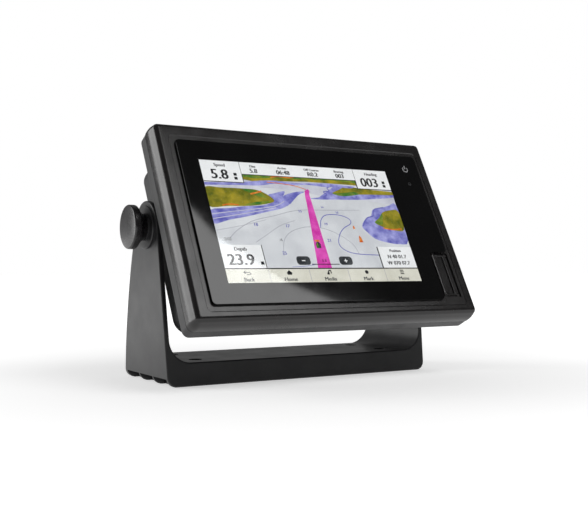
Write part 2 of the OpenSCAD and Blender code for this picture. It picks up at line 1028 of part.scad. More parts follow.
bracket();
front_bezel();
touch_glass();
glass_adhesive();
lcd_panel();
backlight();
display_frame();
frame_screws();
key_board();
display_flex();
touch_flex();
main_board();
board_screws();
processor_shield();
thermal_pad();
heat_spreader();
antenna_patch();
antenna_board();
antenna_coax();
beeper();
backup_battery();
card_board();
card_reader();
memory_card();
card_door();
door_seal();
door_pin();
case_seal();
rear_housing();
case_screws();
power_socket();
power_pins();
bus_socket();
bus_pins();
socket_seals();
vent_plug();
rear_label();
pivot_insert_left();
pivot_insert_right();
friction_washer_left();
friction_washer_right();
knob_washer_left();
knob_washer_right();
knob_stud_left();
knob_stud_right();
knob_left();
knob_right();
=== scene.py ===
import json
import math

import bmesh
import bpy
from mathutils import Matrix, Vector


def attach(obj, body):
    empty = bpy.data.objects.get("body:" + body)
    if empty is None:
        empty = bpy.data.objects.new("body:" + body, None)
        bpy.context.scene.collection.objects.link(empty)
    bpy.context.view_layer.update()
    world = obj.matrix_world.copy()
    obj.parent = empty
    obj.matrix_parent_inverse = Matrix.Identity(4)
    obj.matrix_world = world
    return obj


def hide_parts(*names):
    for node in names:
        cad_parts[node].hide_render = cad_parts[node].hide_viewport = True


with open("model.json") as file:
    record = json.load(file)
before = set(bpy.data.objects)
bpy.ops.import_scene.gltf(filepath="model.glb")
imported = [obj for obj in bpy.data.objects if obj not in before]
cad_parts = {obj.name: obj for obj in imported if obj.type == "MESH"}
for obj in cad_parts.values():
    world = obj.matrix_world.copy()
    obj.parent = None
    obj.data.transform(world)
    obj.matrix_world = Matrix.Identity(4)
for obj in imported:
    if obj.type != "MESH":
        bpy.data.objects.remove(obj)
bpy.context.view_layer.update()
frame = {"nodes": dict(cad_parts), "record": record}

scene = bpy.context.scene

# ---------------------------------------------------------------- camera

MM = 0.001
CAM_POS = Vector((-346.5, -586.4, 78.9)) * MM
CAM_AZ, CAM_EL = math.radians(-31.47), math.radians(-0.74)
LENS_MM = 56.83

back = Vector((math.sin(CAM_AZ) * math.cos(CAM_EL), -math.cos(CAM_AZ) * math.cos(CAM_EL), math.sin(CAM_EL)))
camera_data = bpy.data.cameras.new("camera")
camera_data.sensor_fit = "HORIZONTAL"
camera_data.sensor_width = 36.0
camera_data.lens = LENS_MM
camera_data.clip_start = 0.01
camera_data.clip_end = 50.0
camera = bpy.data.objects.new("camera", camera_data)
scene.collection.objects.link(camera)
camera.matrix_world = Matrix.Translation(CAM_POS) @ back.to_track_quat("Z", "Y").to_matrix().to_4x4()
scene.camera = camera
scene.view_settings.view_transform = "Standard"

# ---------------------------------------------------------------- frames

TILT = math.radians(28.0)
AXIS_Y, AXIS_Z = -8.0, 104.0          # tilt axis in the row frame, mm
PIVOT_Y, PIVOT_UP = 45.0, 19.0        # tilt axis in the head frame, mm
ROW = Matrix.Scale(MM, 4)
HEAD = (ROW @ Matrix.Translation((0, AXIS_Y, AXIS_Z)) @ Matrix.Rotation(-TILT, 4, "X")
        @ Matrix.Translation((0, -PIVOT_Y, -PIVOT_UP)))

# ---------------------------------------------------------------- materials


class Nodes:
    """Short way to build a material's node tree."""

    def __init__(self, name):
        self.material = bpy.data.materials.new(name)
        self.material.use_nodes = True
        self.tree = self.material.node_tree
        self.bsdf = self.tree.nodes["Principled BSDF"]
        self.coords = self.add("ShaderNodeTexCoord").outputs["Object"]

    def add(self, kind, **values):
        node = self.tree.nodes.new(kind)
        for key, value in values.items():
            setattr(node, key, value)
        return node

    def link(self, a, b):
        self.tree.links.new(a, b)

    def set(self, **values):
        for key, value in values.items():
            self.bsdf.inputs[key.replace("_", " ")].default_value = value

    def noise(self, scale, detail=3.0, rough=0.55, stretch=None):
        source = self.coords
        if stretch:
            mapping = self.add("ShaderNodeMapping")
            mapping.inputs["Scale"].default_value = stretch
            self.link(self.coords, mapping.inputs["Vector"])
            source = mapping.outputs["Vector"]
        node = self.add("ShaderNodeTexNoise")
        node.inputs["Scale"].default_value = scale
        node.inputs["Detail"].default_value = detail
        node.inputs["Roughness"].default_value = rough
        self.link(source, node.inputs["Vector"])
        return node.outputs["Fac"]

    def ramp(self, source, low, high, a=0.35, b=0.65):
        node = self.add("ShaderNodeMapRange")
        node.inputs["From Min"].default_value = a
        node.inputs["From Max"].default_value = b
        node.inputs["To Min"].default_value = low
        node.inputs["To Max"].default_value = high
        self.link(source, node.inputs["Value"])
        return node.outputs["Result"]

    def colours(self, source, dark, light, a=0.35, b=0.65):
        node = self.add("ShaderNodeValToRGB")
        node.color_ramp.elements[0].position = a
        node.color_ramp.elements[0].color = (*dark, 1)
        node.color_ramp.elements[1].position = b
        node.color_ramp.elements[1].color = (*light, 1)
        self.link(source, node.inputs["Fac"])
        return node.outputs["Color"]

    def bump(self, source, strength, distance):
        node = self.add("ShaderNodeBump")
        node.inputs["Strength"].default_value = strength
        node.inputs["Distance"].default_value = distance
        self.link(source, node.inputs["Height"])
        self.link(node.outputs["Normal"], self.bsdf.inputs["Normal"])

    def painted_edge_highlight(self, colour, edge_highlight_colour, amount):
        """Mixes a lighter colour in where the surface is sharply convex, as a painted highlight along the edges."""
        geometry = self.add("ShaderNodeNewGeometry")
        edge = self.ramp(geometry.outputs["Pointiness"], 0.0, amount, 0.53, 0.62)
        mix = self.add("ShaderNodeMix", data_type="RGBA")
        self.link(edge, mix.inputs["Factor"])
        self.link(colour, mix.inputs["A"])
        mix.inputs["B"].default_value = (*edge_highlight_colour, 1)
        return mix.outputs["Result"]


def moulded(name, dark, light, rough, grain, grain_depth, specular=0.5, edge_highlight_colour=None, coat=0.0):
    """Moulded plastic: fine grain, faint mottling, and edges painted slightly paler as a highlight."""
    n = Nodes(name)
    mottle = n.noise(90.0, 4.0)
    colour = n.colours(mottle, dark, light)
    # painted highlight: sharp convex edges get a lighter colour
    if edge_highlight_colour:
        colour = n.painted_edge_highlight(colour, edge_highlight_colour, 0.5)
    n.link(colour, n.bsdf.inputs["Base Color"])
    n.link(n.ramp(n.noise(60.0, 5.0), rough[0], rough[1]), n.bsdf.inputs["Roughness"])
    n.bump(n.noise(grain, 2.0), 0.35, grain_depth)
    n.set(Specular_IOR_Level=specular)
    if coat:
        n.set(Coat_Weight=coat, Coat_Roughness=0.18)
    return n.material


def metal(name, dark, light, rough, stretch, scale=900.0):
    n = Nodes(name)
    lines = n.noise(scale, 3.0, stretch=stretch)
    n.link(n.colours(lines, dark, light), n.bsdf.inputs["Base Color"])
    n.link(n.ramp(lines, rough[0], rough[1]), n.bsdf.inputs["Roughness"])
    n.bump(lines, 0.2, 0.00003)
    n.set(Metallic=1.0)
    return n.material


def rubber(name, dark, light):
    n = Nodes(name)
    n.link(n.colours(n.noise(150.0), dark, light), n.bsdf.inputs["Base Color"])
    n.link(n.ramp(n.noise(220.0), 0.65, 0.85), n.bsdf.inputs["Roughness"])
    n.bump(n.noise(2500.0), 0.4, 0.00003)
    n.set(Specular_IOR_Level=0.3)
    return n.material


def board(name):
    """Printed board: green resist with darker tracks."""
    n = Nodes(name)
    tracks = n.add("ShaderNodeTexBrick")
    tracks.inputs["Scale"].default_value = 90.0
    tracks.inputs["Color1"].default_value = (0.012, 0.10, 0.035, 1)
    tracks.inputs["Color2"].default_value = (0.015, 0.13, 0.05, 1)
    tracks.inputs["Mortar"].default_value = (0.02, 0.20, 0.09, 1)
    tracks.inputs["Mortar Size"].default_value = 0.03
    n.link(n.coords, tracks.inputs["Vector"])
    n.link(tracks.outputs["Color"], n.bsdf.inputs["Base Color"])
    n.link(n.ramp(n.noise(300.0), 0.3, 0.45), n.bsdf.inputs["Roughness"])
    n.bump(tracks.outputs["Fac"], 0.2, 0.00004)
    return n.material


def clear_glass(name):
    n = Nodes(name)
    n.set(Base_Color=(0.94, 0.96, 0.97, 1), Transmission_Weight=1.0, IOR=1.45)
    n.link(n.ramp(n.noise(40.0, 4.0), 0.015, 0.04), n.bsdf.inputs["Roughness"])
    return n.material


def black_glass(name):
    """Cover glass printed black behind: deep black with a hard gloss and faint finger smears."""
    n = Nodes(name)
    n.link(n.colours(n.noise(30.0, 5.0), (0.0012, 0.0012, 0.0014), (0.002, 0.002, 0.0022)), n.bsdf.inputs["Base Color"])
    n.link(n.ramp(n.noise(25.0, 6.0, 0.65), 0.04, 0.09), n.bsdf.inputs["Roughness"])
    n.set(Specular_IOR_Level=0.5)
    return n.material


def lit(name, low, high, strength=1.0, scale=120.0):
    """A patch of the lit picture, slightly uneven like a real panel."""
    n = Nodes(name)
    colour = n.colours(n.noise(scale, 5.0), low, high)
    n.set(Base_Color=(0.01, 0.01, 0.01, 1), Roughness=0.6, Specular_IOR_Level=0.1, Emission_Strength=strength)
    n.link(colour, n.bsdf.inputs["Emission Color"])
    return n.material


# The last colour given to several of these plastics is a painted highlight on their sharp edges.
BRACKET_NYLON = moulded("bracket_nylon", (0.012, 0.012, 0.013), (0.017, 0.017, 0.018), (0.30, 0.38), 1400.0, 0.00004,
                        edge_highlight_colour=(0.05, 0.05, 0.052))
BEZEL_GLOSS = moulded("bezel_gloss", (0.010, 0.009, 0.009), (0.015, 0.0135, 0.0135), (0.20, 0.28), 1800.0, 0.00002,
                      edge_highlight_colour=(0.035, 0.033, 0.033))
CASE_PLASTIC = moulded("case_plastic", (0.012, 0.012, 0.013), (0.018, 0.018, 0.019), (0.38, 0.48), 1100.0, 0.00005,
                       edge_highlight_colour=(0.04, 0.04, 0.042))
KNOB_SATIN = moulded("knob_satin", (0.012, 0.011, 0.012), (0.018, 0.017, 0.018), (0.24, 0.32), 1500.0, 0.00003,
                     edge_highlight_colour=(0.04, 0.04, 0.042))
SEAL_RUBBER = rubber("seal_rubber", (0.012, 0.012, 0.012), (0.02, 0.02, 0.02))
SOFT_PAD = rubber("soft_pad", (0.4, 0.42, 0.45), (0.5, 0.52, 0.56))
STEEL = metal("steel", (0.45, 0.45, 0.46), (0.62, 0.62, 0.63), (0.22, 0.35), (1, 1, 12))
TINNED = metal("tinned_steel", (0.6, 0.6, 0.58), (0.72, 0.72, 0.7), (0.3, 0.42), (1, 8, 1))
ALUMINIUM = metal("aluminium_plate", (0.62, 0.62, 0.63), (0.75, 0.75, 0.76), (0.3, 0.42), (12, 1, 1))
BRASS = metal("brass", (0.60, 0.44, 0.17), (0.76, 0.60, 0.28), (0.2, 0.32), (1, 1, 6))
NICKEL = metal("nickel", (0.6, 0.59, 0.56), (0.72, 0.71, 0.68), (0.15, 0.25), (1, 1, 6))
BOARD = board("board")
FLEX = moulded("flex_film", (0.35, 0.16, 0.03), (0.5, 0.25, 0.05), (0.25, 0.35), 900.0, 0.00002)
FILM = moulded("white_film", (0.78, 0.78, 0.77), (0.86, 0.86, 0.85), (0.4, 0.5), 900.0, 0.00002)
CERAMIC = moulded("ceramic", (0.6, 0.56, 0.46), (0.7, 0.66, 0.55), (0.3, 0.4), 1200.0, 0.00003)
LABEL = moulded("label_film", (0.33, 0.33, 0.34), (0.4, 0.4, 0.41), (0.35, 0.45), 1600.0, 0.00002)
PANEL = moulded("panel_glass", (0.01, 0.012, 0.014), (0.014, 0.016, 0.018), (0.15, 0.2), 900.0, 0.00001)
CLEAR = clear_glass("clear_glass")
BLACK = black_glass("black_glass")

SLOT_MATERIALS = {
    "bracket_nylon": BRACKET_NYLON, "bezel_gloss": BEZEL_GLOSS, "cover_glass": BLACK, "seal_rubber": SEAL_RUBBER,
    "panel_glass": PANEL, "white_film": FILM, "steel": STEEL, "board": BOARD, "flex_film": FLEX,
    "tinned_steel": TINNED, "soft_pad": SOFT_PAD, "aluminium_plate": ALUMINIUM, "ceramic": CERAMIC,
    "brass": BRASS, "case_plastic": CASE_PLASTIC, "nickel": NICKEL, "label_film": LABEL, "knob_satin": KNOB_SATIN,
}

for part in frame["record"]["subparts"]:
    node = frame["nodes"][part["node"]]
    node.data.materials.clear()
    node.data.materials.append(SLOT_MATERIALS[part["material_slot"]])

# ---------------------------------------------------------------- mesh helpers


def finish_piece(name, mesh, matrix, materials, body, nodes=(), sharp=35.0):
    """Turns a bmesh or mesh in mm into a shown piece that rides on a body."""
    if isinstance(mesh, bmesh.types.BMesh):
        bmesh.ops.remove_doubles(mesh, verts=mesh.verts, dist=0.001)
        data = bpy.data.meshes.new(name)
        mesh.to_mesh(data)
        mesh.free()
    else:
        data = mesh
        data.name = name
    bm = bmesh.new()
    bm.from_mesh(data)
    bmesh.ops.recalc_face_normals(bm, faces=bm.faces)
    limit = math.radians(sharp)
    for edge in bm.edges:
        edge.smooth = len(edge.link_faces) == 2 and edge.calc_face_angle(0.0) < limit
    for face in bm.faces:
        face.smooth = True
    bm.to_mesh(data)
    bm.free()
    data.transform(matrix)
    if data.materials:
        data.materials.clear()
    for material in materials:
        data.materials.append(material)
    piece = bpy.data.objects.new(name, data)
    scene.collection.objects.link(piece)
    even = piece.modifiers.new("even_normals", "WEIGHTED_NORMAL")
    even.keep_sharp = True
    even.weight = 80
    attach(piece, body)
    if nodes:
        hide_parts(*nodes)
    return piece


def arc(cx, cy, r, a0, a1, steps):
    return [(cx + r * math.cos(math.radians(a0 + (a1 - a0) * i / steps)),
             cy + r * math.sin(math.radians(a0 + (a1 - a0) * i / steps))) for i in range(steps + 1)]


def rect_loop(w, h, r, offset, steps=12):
    """Points round a rectangle w by h whose corner arcs have radius r, moved out to offset from their centres."""
    points = []
    for sx, sz, start in ((1, 1, 0), (-1, 1, 90), (-1, -1, 180), (1, -1, 270)):
        cx, cz = sx * (w / 2 - r), sz * (h / 2 - r)
        points += arc(cx, cz, offset, start, start + 90, steps)
    return points


def sweep(bm, w, h, r, profile, closed=True, steps=12):
    """Sweeps a profile of (offset from the corner centres, depth) points round a rectangle."""
    rings = [[bm.verts.new((x, y, z)) for x, z in rect_loop(w, h, r, d, steps)] for d, y in profile]
    pairs = list(zip(rings, rings[1:] + rings[:1])) if closed else list(zip(rings, rings[1:]))
    for a, b in pairs:
        for i in range(len(a)):
            j = (i + 1) % len(a)
            bm.faces.new((a[i], a[j], b[j], b[i]))
    return rings


def revolve(bm, profile, sign=1, steps=64, centre=(0, 0)):
    """Turns a profile of (radius, x) points about the X axis through centre (y, z)."""
    rings = []
    for r, x in profile:
        if r < 1e-6:
            rings.append([bm.verts.new((sign * x, centre[0], centre[1]))])
        else:
            rings.append([bm.verts.new((sign * x, centre[0] + r * math.cos(2 * math.pi * i / steps),
                                        centre[1] + r * math.sin(2 * math.pi * i / steps))) for i in range(steps)])
    for a, b in zip(rings, rings[1:]):
        for i in range(steps):
            j = (i + 1) % steps
            if len(a) == 1:
                bm.faces.new((a[0], b[i], b[j]))
            elif len(b) == 1:
                bm.faces.new((a[i], b[0], a[j]))
            else:
                bm.faces.new((a[i], b[i], b[j], a[j]))


def prism(points, low, high, axis="Y"):
    """Extrudes an outline between two levels along an axis."""
    bm = bmesh.new()

    def place(a, b, level):
        return {"Y": (a, level, b), "X": (level, a, b), "Z": (a, b, level)}[axis]

    bottom = [bm.verts.new(place(a, b, low)) for a, b in points]
    top = [bm.verts.new(place(a, b, high)) for a, b in points]
    bm.faces.new(bottom)
    bm.faces.new(top[::-1])
    for i in range(len(points)):
        j = (i + 1) % len(points)
        bm.faces.new((bottom[j], bottom[i], top[i], top[j]))
    bmesh.ops.recalc_face_normals(bm, faces=bm.faces)
    return bm


def scratch(bm, name="scratch"):
    """A temporary object from a bmesh, for modifiers."""
    data = bpy.data.meshes.new(name)
    bm.to_mesh(data)
    bm.free()
    o = bpy.data.objects.new(name, data)
    scene.collection.objects.link(o)
    return o


def applied(o):
    """The object's mesh with its modifiers applied; the object goes away."""
    bpy.context.view_layer.update()
    depsgraph = bpy.context.evaluated_depsgraph_get()
    data = bpy.data.meshes.new_from_object(o.evaluated_get(depsgraph))
    bpy.data.objects.remove(o, do_unlink=True)
    return data


def combined(base, others, operation):
    """Boolean of a base mesh or bmesh with several bmeshes."""
    if isinstance(base, bmesh.types.BMesh):
        body = scratch(base)
    else:
        body = bpy.data.objects.new("scratch", base)
        scene.collection.objects.link(body)
    tools = []
    for bm in others:
        tool = scratch(bm, "tool")
        tools.append(tool)
        step = body.modifiers.new("cut", "BOOLEAN")
        step.operation = operation
        step.solver = "EXACT"
        step.object = tool
    data = applied(body)
    for tool in tools:
        bpy.data.objects.remove(tool, do_unlink=True)
    return data


def bevelled(data, width, segments=4, angle=35.0):
    body = bpy.data.objects.new("scratch", data)
    scene.collection.objects.link(body)
    step = body.modifiers.new("round", "BEVEL")
    step.width = width
    step.segments = segments
    step.limit_method = "ANGLE"
    step.angle_limit = math.radians(angle)
    step.use_clamp_overlap = True
    return applied(body)


def box_bm(low, high):
    return prism([(low[0], low[2]), (high[0], low[2]), (high[0], high[2]), (low[0], high[2])], low[1], high[1])


def disc_bm(place, r, low, high, axis="Y", steps=48):
    return prism(arc(place[0], place[1], r, 0, 360 - 360 / steps, steps - 1), low, high, axis)


def cells(bm, us, vs, solid, y0, y1, material=None):
    """A plate made of rectangular cells between lines us and vs; solid(i, j) says which cells are there."""
    def has(i, j):
        return 0 <= i < len(us) - 1 and 0 <= j < len(vs) - 1 and solid(i, j)

    def quad(*points):
        face = bm.faces.new([bm.verts.new(p) for p in points])
        return face

    for i in range(len(us) - 1):
        for j in range(len(vs) - 1):
            if not has(i, j):
                continue
            u0, u1, v0, v1 = us[i], us[i + 1], vs[j], vs[j + 1]
            faces = [quad((u0, y0, v0), (u1, y0, v0), (u1, y0, v1), (u0, y0, v1)),
                     quad((u0, y1, v0), (u0, y1, v1), (u1, y1, v1), (u1, y1, v0))]
            if not has(i - 1, j):
                faces.append(quad((u0, y0, v0), (u0, y0, v1), (u0, y1, v1), (u0, y1, v0)))
            if not has(i + 1, j):
                faces.append(quad((u1, y0, v0), (u1, y1, v0), (u1, y1, v1), (u1, y0, v1)))
            if not has(i, j - 1):
                faces.append(quad((u0, y0, v0), (u0, y1, v0), (u1, y1, v0), (u1, y0, v0)))
            if not has(i, j + 1):
                faces.append(quad((u0, y0, v1), (u1, y0, v1), (u1, y1, v1), (u0, y1, v1)))
            if material:
                for face in faces:
                    face.material_index = material(i, j)


# ---------------------------------------------------------------- front bezel

HEAD_W, HEAD_H, HEAD_R = 223.0, 146.5, 5.0
FACE_Y, PARTING_Y, PARTING_BACK_Y = -1.5, 11.4, 11.8
GLASS_X, GLASS_Z, GLASS_W, GLASS_H, GLASS_Y, GLASS_T = 0.4, -1.8, 197.4, 120.0, -3.0, 1.8
LIP_W, LIP_H, LIP_R = 204.0, 127.8, 3.5
RING_Y, SHELF_Y, SHELF_BACK_Y = -1.1, -0.7, 4.8


def placed_loop(w, h, r, x, z, steps=8):
    """A round-cornered rectangle about (x, z), as a loop with the same count of points at every size."""
    return [(u + x, v + z) for u, v in rect_loop(w, h, r, r, steps)]


def skin(bm, loops, close=True):
    """Joins loops of equal length, each given as (points, depth), into a skin."""
    rings = [[bm.verts.new((u, y, v)) for u, v in points] for points, y in loops]
    pairs = list(zip(rings, rings[1:] + rings[:1])) if close else list(zip(rings, rings[1:]))
    for low, high in pairs:
        for i in range(len(low)):
            j = (i + 1) % len(low)
            bm.faces.new((low[i], low[j], high[j], high[i]))
    bmesh.ops.recalc_face_normals(bm, faces=bm.faces)
    return rings


def rim(inset, r, y):
    """A loop round the head, at a distance inside its outline."""
    return placed_loop(HEAD_W - 2 * inset, HEAD_H - 2 * inset, r, 0, 0), y


def well(grow, y):
    """A loop round the shallow well that the glass stands in."""
    return placed_loop(LIP_W + 2 * grow, LIP_H + 2 * grow, LIP_R + grow, GLASS_X, GLASS_Z), y


ROUND, BULGE_END = 3.6, 9.0
bulge_r = ((BULGE_END - FACE_Y - ROUND) ** 2 + 1.34 ** 2) / 2.68
loops = [well(-0.25, SHELF_BACK_Y), well(-0.25, RING_Y + 0.15), well(-0.1, RING_Y), well(0.0, RING_Y - 0.1), well(0.3, FACE_Y)]
loops += [rim(HEAD_R, 0.4, FACE_Y)]
loops += [rim(HEAD_R - u, max(u, 0.4), v) for u, v in arc(0, FACE_Y + ROUND, ROUND - 0.04, -82, -14, 9)]
loops += [rim(bulge_r * (1 - math.cos(math.radians(t))), HEAD_R - bulge_r * (1 - math.cos(math.radians(t))),
              BULGE_END - bulge_r * math.sin(math.radians(t))) for t in (21, 17, 13, 9, 5, 1)]
loops += [rim(0.0, HEAD_R, 9.6), rim(0.0, HEAD_R, PARTING_Y - 0.35), rim(0.3, HEAD_R - 0.3, PARTING_Y)]
loops += [rim(3.0, 2.0, PARTING_Y), rim(3.0, 2.0, SHELF_BACK_Y)]
bm = bmesh.new()
skin(bm, loops)
SHELF_U = [-102.2, -94.2, 77.8, 83.2, 87.5, 95.7, 99.9, 102.2]
SHELF_V = [-65.4, -59.4, -55.8, -52.0, -25.6, -24.4, 52.2, 61.8]


def shelf_cell(i, j):
    window = i == 1 and 2 <= j <= 5
    door_well = 3 <= i <= 5 and 1 <= j <= 4
    return not window and not door_well


cells(bm, SHELF_U, SHELF_V, shelf_cell, RING_Y + 0.02, SHELF_BACK_Y)
cells(bm, [83.2, 87.5, 95.7, 99.9], [-59.4, -52.0, -25.6, -24.4], lambda i, j: not (i == 1 and j == 1), 2.3, SHELF_BACK_Y)
cells(bm, [86.1, 87.5, 95.7, 97.1], [-53.4, -52.0, -25.6, -24.2], lambda i, j: not (i == 1 and j == 1), SHELF_BACK_Y, 10.6)
for v in (-58.9, -27.3):
    cells(bm, [96.65, 98.95], [v, v + 2.4], lambda i, j: True, -0.2, 2.3)
finish_piece("bezel", bm, HEAD, [BEZEL_GLOSS], "head", ["front_bezel"], 40)

# ---------------------------------------------------------------- rear housing

REAR_W, REAR_H, REAR_R, REAR_Y, REAR_ROUND, REAR_Z = 199.0, 126.0, 11.0, 55.0, 4.0, 6.0
bm = bmesh.new()
FLANGE_Y = 21.5
loops = [rim(9.0, 1.0, PARTING_BACK_Y), rim(0.6, HEAD_R - 0.6, PARTING_BACK_Y), rim(0.3, HEAD_R - 0.3, PARTING_BACK_Y + 0.3),
         rim(0.3, HEAD_R - 0.3, FLANGE_Y - 2.5)]
loops += [rim(2.8 - u, 2.2 + u, v) for u, v in arc(0, FLANGE_Y - 2.5, 2.5, 0, 90, 6)[1:]]
loops += [rim(9.0, 1.0, FLANGE_Y)]
skin(bm, loops)
plate_u = [-102.5, -96.0, 96.0, 102.5]
plate_v = [-64.25, -53.0, 65.0, 67.0]
cells(bm, plate_u, plate_v, lambda i, j: not (i == 1 and j == 1), FLANGE_Y - 2.5, FLANGE_Y - 0.05)
flange_data = bpy.data.meshes.new("flange")
bmesh.ops.remove_doubles(bm, verts=bm.verts, dist=0.001)
bm.to_mesh(flange_data)
bm.free()

bm = bmesh.new()
body = [(REAR_R, FLANGE_Y - 0.5), (REAR_R, REAR_Y - REAR_ROUND)]
body += arc(REAR_R - REAR_ROUND, REAR_Y - REAR_ROUND, REAR_ROUND, 0, 90, 8)[1:]
rings = sweep(bm, REAR_W, REAR_H, REAR_R, body, closed=False)
inner = [(5.5, REAR_Y - 2.5), (8.5, REAR_Y - REAR_ROUND), (8.5, FLANGE_Y - 2.5), (REAR_R, FLANGE_Y - 2.5)]
inner_rings = sweep(bm, REAR_W, REAR_H, REAR_R, inner, closed=False)
for i in range(len(rings[0])):
    j = (i + 1) % len(rings[0])
    bm.faces.new((inner_rings[-1][i], inner_rings[-1][j], rings[0][j], rings[0][i]))
bm.faces.new(rings[-1])
bm.faces.new(inner_rings[0][::-1])
bmesh.ops.recalc_face_normals(bm, faces=bm.faces)
bmesh.ops.translate(bm, verts=bm.verts, vec=(0, 0, REAR_Z))

POCKET_Z, POCKET_FLOOR = -20.0, 44.0
pocket_outer = prism(rect_loop(89.0, 37.0, 4.0, 4.0, 6), POCKET_FLOOR - 2.5, REAR_Y - 1.0)
bmesh.ops.translate(pocket_outer, verts=pocket_outer.verts, vec=(0, 0, POCKET_Z))
pads = []
for sign in (-1, 1):
    pad = bmesh.new()
    revolve(pad, [(0, 95.0), (9.0, 95.0), (9.0, 102.8), (8.6, 103.2), (0, 103.2)], sign, 48, (PIVOT_Y, PIVOT_UP))
    bmesh.ops.recalc_face_normals(pad, faces=pad.faces)
    pads.append(pad)
shell = combined(bm, [pocket_outer, *pads], "UNION")

pocket = prism(rect_loop(84.0, 32.0, 3.0, 3.0, 6), POCKET_FLOOR, REAR_Y + 2.0)
bmesh.ops.translate(pocket, verts=pocket.verts, vec=(0, 0, POCKET_Z))
cuts = [pocket]
for x, r in ((-18.0, 9.3), (18.0, 6.3)):
    cuts.append(disc_bm((x, POCKET_Z), r, 40.0, 46.0))
cuts.append(disc_bm((64.0, 34.0), 6.0, REAR_Y - 1.2, REAR_Y + 1.0))
cuts.append(disc_bm((64.0, 34.0), 2.0, REAR_Y - 4.0, REAR_Y))
cuts.append(box_bm((-30, REAR_Y - 0.3, 0), (30, REAR_Y + 1, 26)))
for sign in (-1, 1):
    hole = bmesh.new()
    revolve(hole, [(0, 90.0), (6.5, 90.0), (6.5, 104.0), (0, 104.0)], sign, 48, (PIVOT_Y, PIVOT_UP))
    bmesh.ops.recalc_face_normals(hole, faces=hole.faces)
    cuts.append(hole)
shell = combined(shell, cuts, "DIFFERENCE")
bm = bmesh.new()
bm.from_mesh(shell)
bm.from_mesh(flange_data)
finish_piece("housing", bm, HEAD, [CASE_PLASTIC], "head", ["rear_housing"], 32)

# ---------------------------------------------------------------- cover glass and its picture

PICTURE_X, PICTURE_Z, PICTURE_W, PICTURE_H = -8.2, -1.8, 152.4, 91.4
NOTCH_U, NOTCH_V = 83.3 - 0.6, -24.4
u_lines = [GLASS_X - GLASS_W / 2, PICTURE_X - PICTURE_W / 2, PICTURE_X + PICTURE_W / 2, NOTCH_U, GLASS_X + GLASS_W / 2]
v_lines = [GLASS_Z - GLASS_H / 2, PICTURE_Z - PICTURE_H / 2, NOTCH_V, PICTURE_Z + PICTURE_H / 2, GLASS_Z + GLASS_H / 2]
bm = bmesh.new()
cells(bm, u_lines, v_lines, lambda i, j: not (i == 3 and j <= 1), GLASS_Y, GLASS_Y + GLASS_T,
      lambda i, j: 1 if i == 1 and 1 <= j <= 2 else 0)
bmesh.ops.remove_doubles(bm, verts=bm.verts, dist=0.001)
corner_edges = [e for e in bm.edges if len(e.link_faces) == 2 and e.calc_face_angle(0.0) > 1.0
                and abs(e.verts[0].co.y - e.verts[1].co.y) > 1.0]
bmesh.ops.bevel(bm, geom=corner_edges, offset=3.0, segments=6, affect="EDGES", profile=0.5)
rim_edges = [e for e in bm.edges if len(e.link_faces) == 2 and e.calc_face_angle(0.0) > 1.0
             and all(abs(v.co.y - GLASS_Y) < 0.01 for v in e.verts)]
bmesh.ops.bevel(bm, geom=rim_edges, offset=0.5, segments=2, affect="EDGES", profile=0.5)
finish_piece("cover_glass", bm, HEAD, [BLACK, CLEAR], "head", ["touch_glass"], 30)

# Colours of the picture
WATER = lit("picture_water", (0.62, 0.63, 0.66), (0.76, 0.77, 0.79), 1.0, 45.0)
FAR_WATER = lit("picture_far_water", (0.50, 0.50, 0.58), (0.72, 0.72, 0.78), 1.0, 60.0)
SHALLOW = lit("picture_shallow", (0.12, 0.12, 0.46), (0.42, 0.42, 0.78), 1.0, 150.0)
LAND = lit("picture_land", (0.10, 0.12, 0.005), (0.42, 0.33, 0.02), 1.0, 110.0)
GREEN = lit("picture_green", (0.02, 0.16, 0.02), (0.25, 0.30, 0.03), 1.0, 160.0)
ORANGE = lit("picture_orange", (0.6, 0.08, 0.01), (0.85, 0.30, 0.04), 1.0, 300.0)
MAGENTA = lit("picture_course", (0.62, 0.03, 0.36), (0.80, 0.10, 0.52), 1.0, 150.0)
WHITE = lit("picture_white", (0.88, 0.88, 0.88), (0.95, 0.95, 0.95), 1.0, 80.0)
CREAM = lit("picture_cream", (0.66, 0.64, 0.54), (0.80, 0.78, 0.68), 1.0, 60.0)
INK = lit("picture_ink", (0.006, 0.006, 0.008), (0.014, 0.014, 0.016), 1.0, 200.0)
KEY_GREY = lit("picture_key", (0.02, 0.022, 0.026), (0.06, 0.065, 0.07), 1.0, 200.0)
BLUE_INK = lit("picture_blue", (0.10, 0.10, 0.40), (0.16, 0.16, 0.50), 1.0, 200.0)
LINE = lit("picture_line", (0.30, 0.30, 0.36), (0.38, 0.38, 0.44), 1.0, 200.0)
PICTURE = [WATER, FAR_WATER, SHALLOW, LAND, GREEN, ORANGE, MAGENTA, WHITE, CREAM, INK, KEY_GREY, BLUE_INK, LINE]
picture = bmesh.new()
LAYER = 0.012
PICTURE_Y = GLASS_Y + GLASS_T + 0.5


def flat(points, material, layer):
    """A filled outline in picture coordinates: mm from the picture's lower left corner."""
    y = PICTURE_Y - LAYER * layer
    verts = [picture.verts.new((PICTURE_X - PICTURE_W / 2 + x, y, PICTURE_Z - PICTURE_H / 2 + z)) for x, z in points]
    face = picture.faces.new(verts)
    face.material_index = PICTURE.index(material)
    if len(points) > 4:
        bmesh.ops.triangulate(picture, faces=[face])


def block2(x0, z0, x1, z1, material, layer):
    flat([(x0, z0), (x1, z0), (x1, z1), (x0, z1)], material, layer)


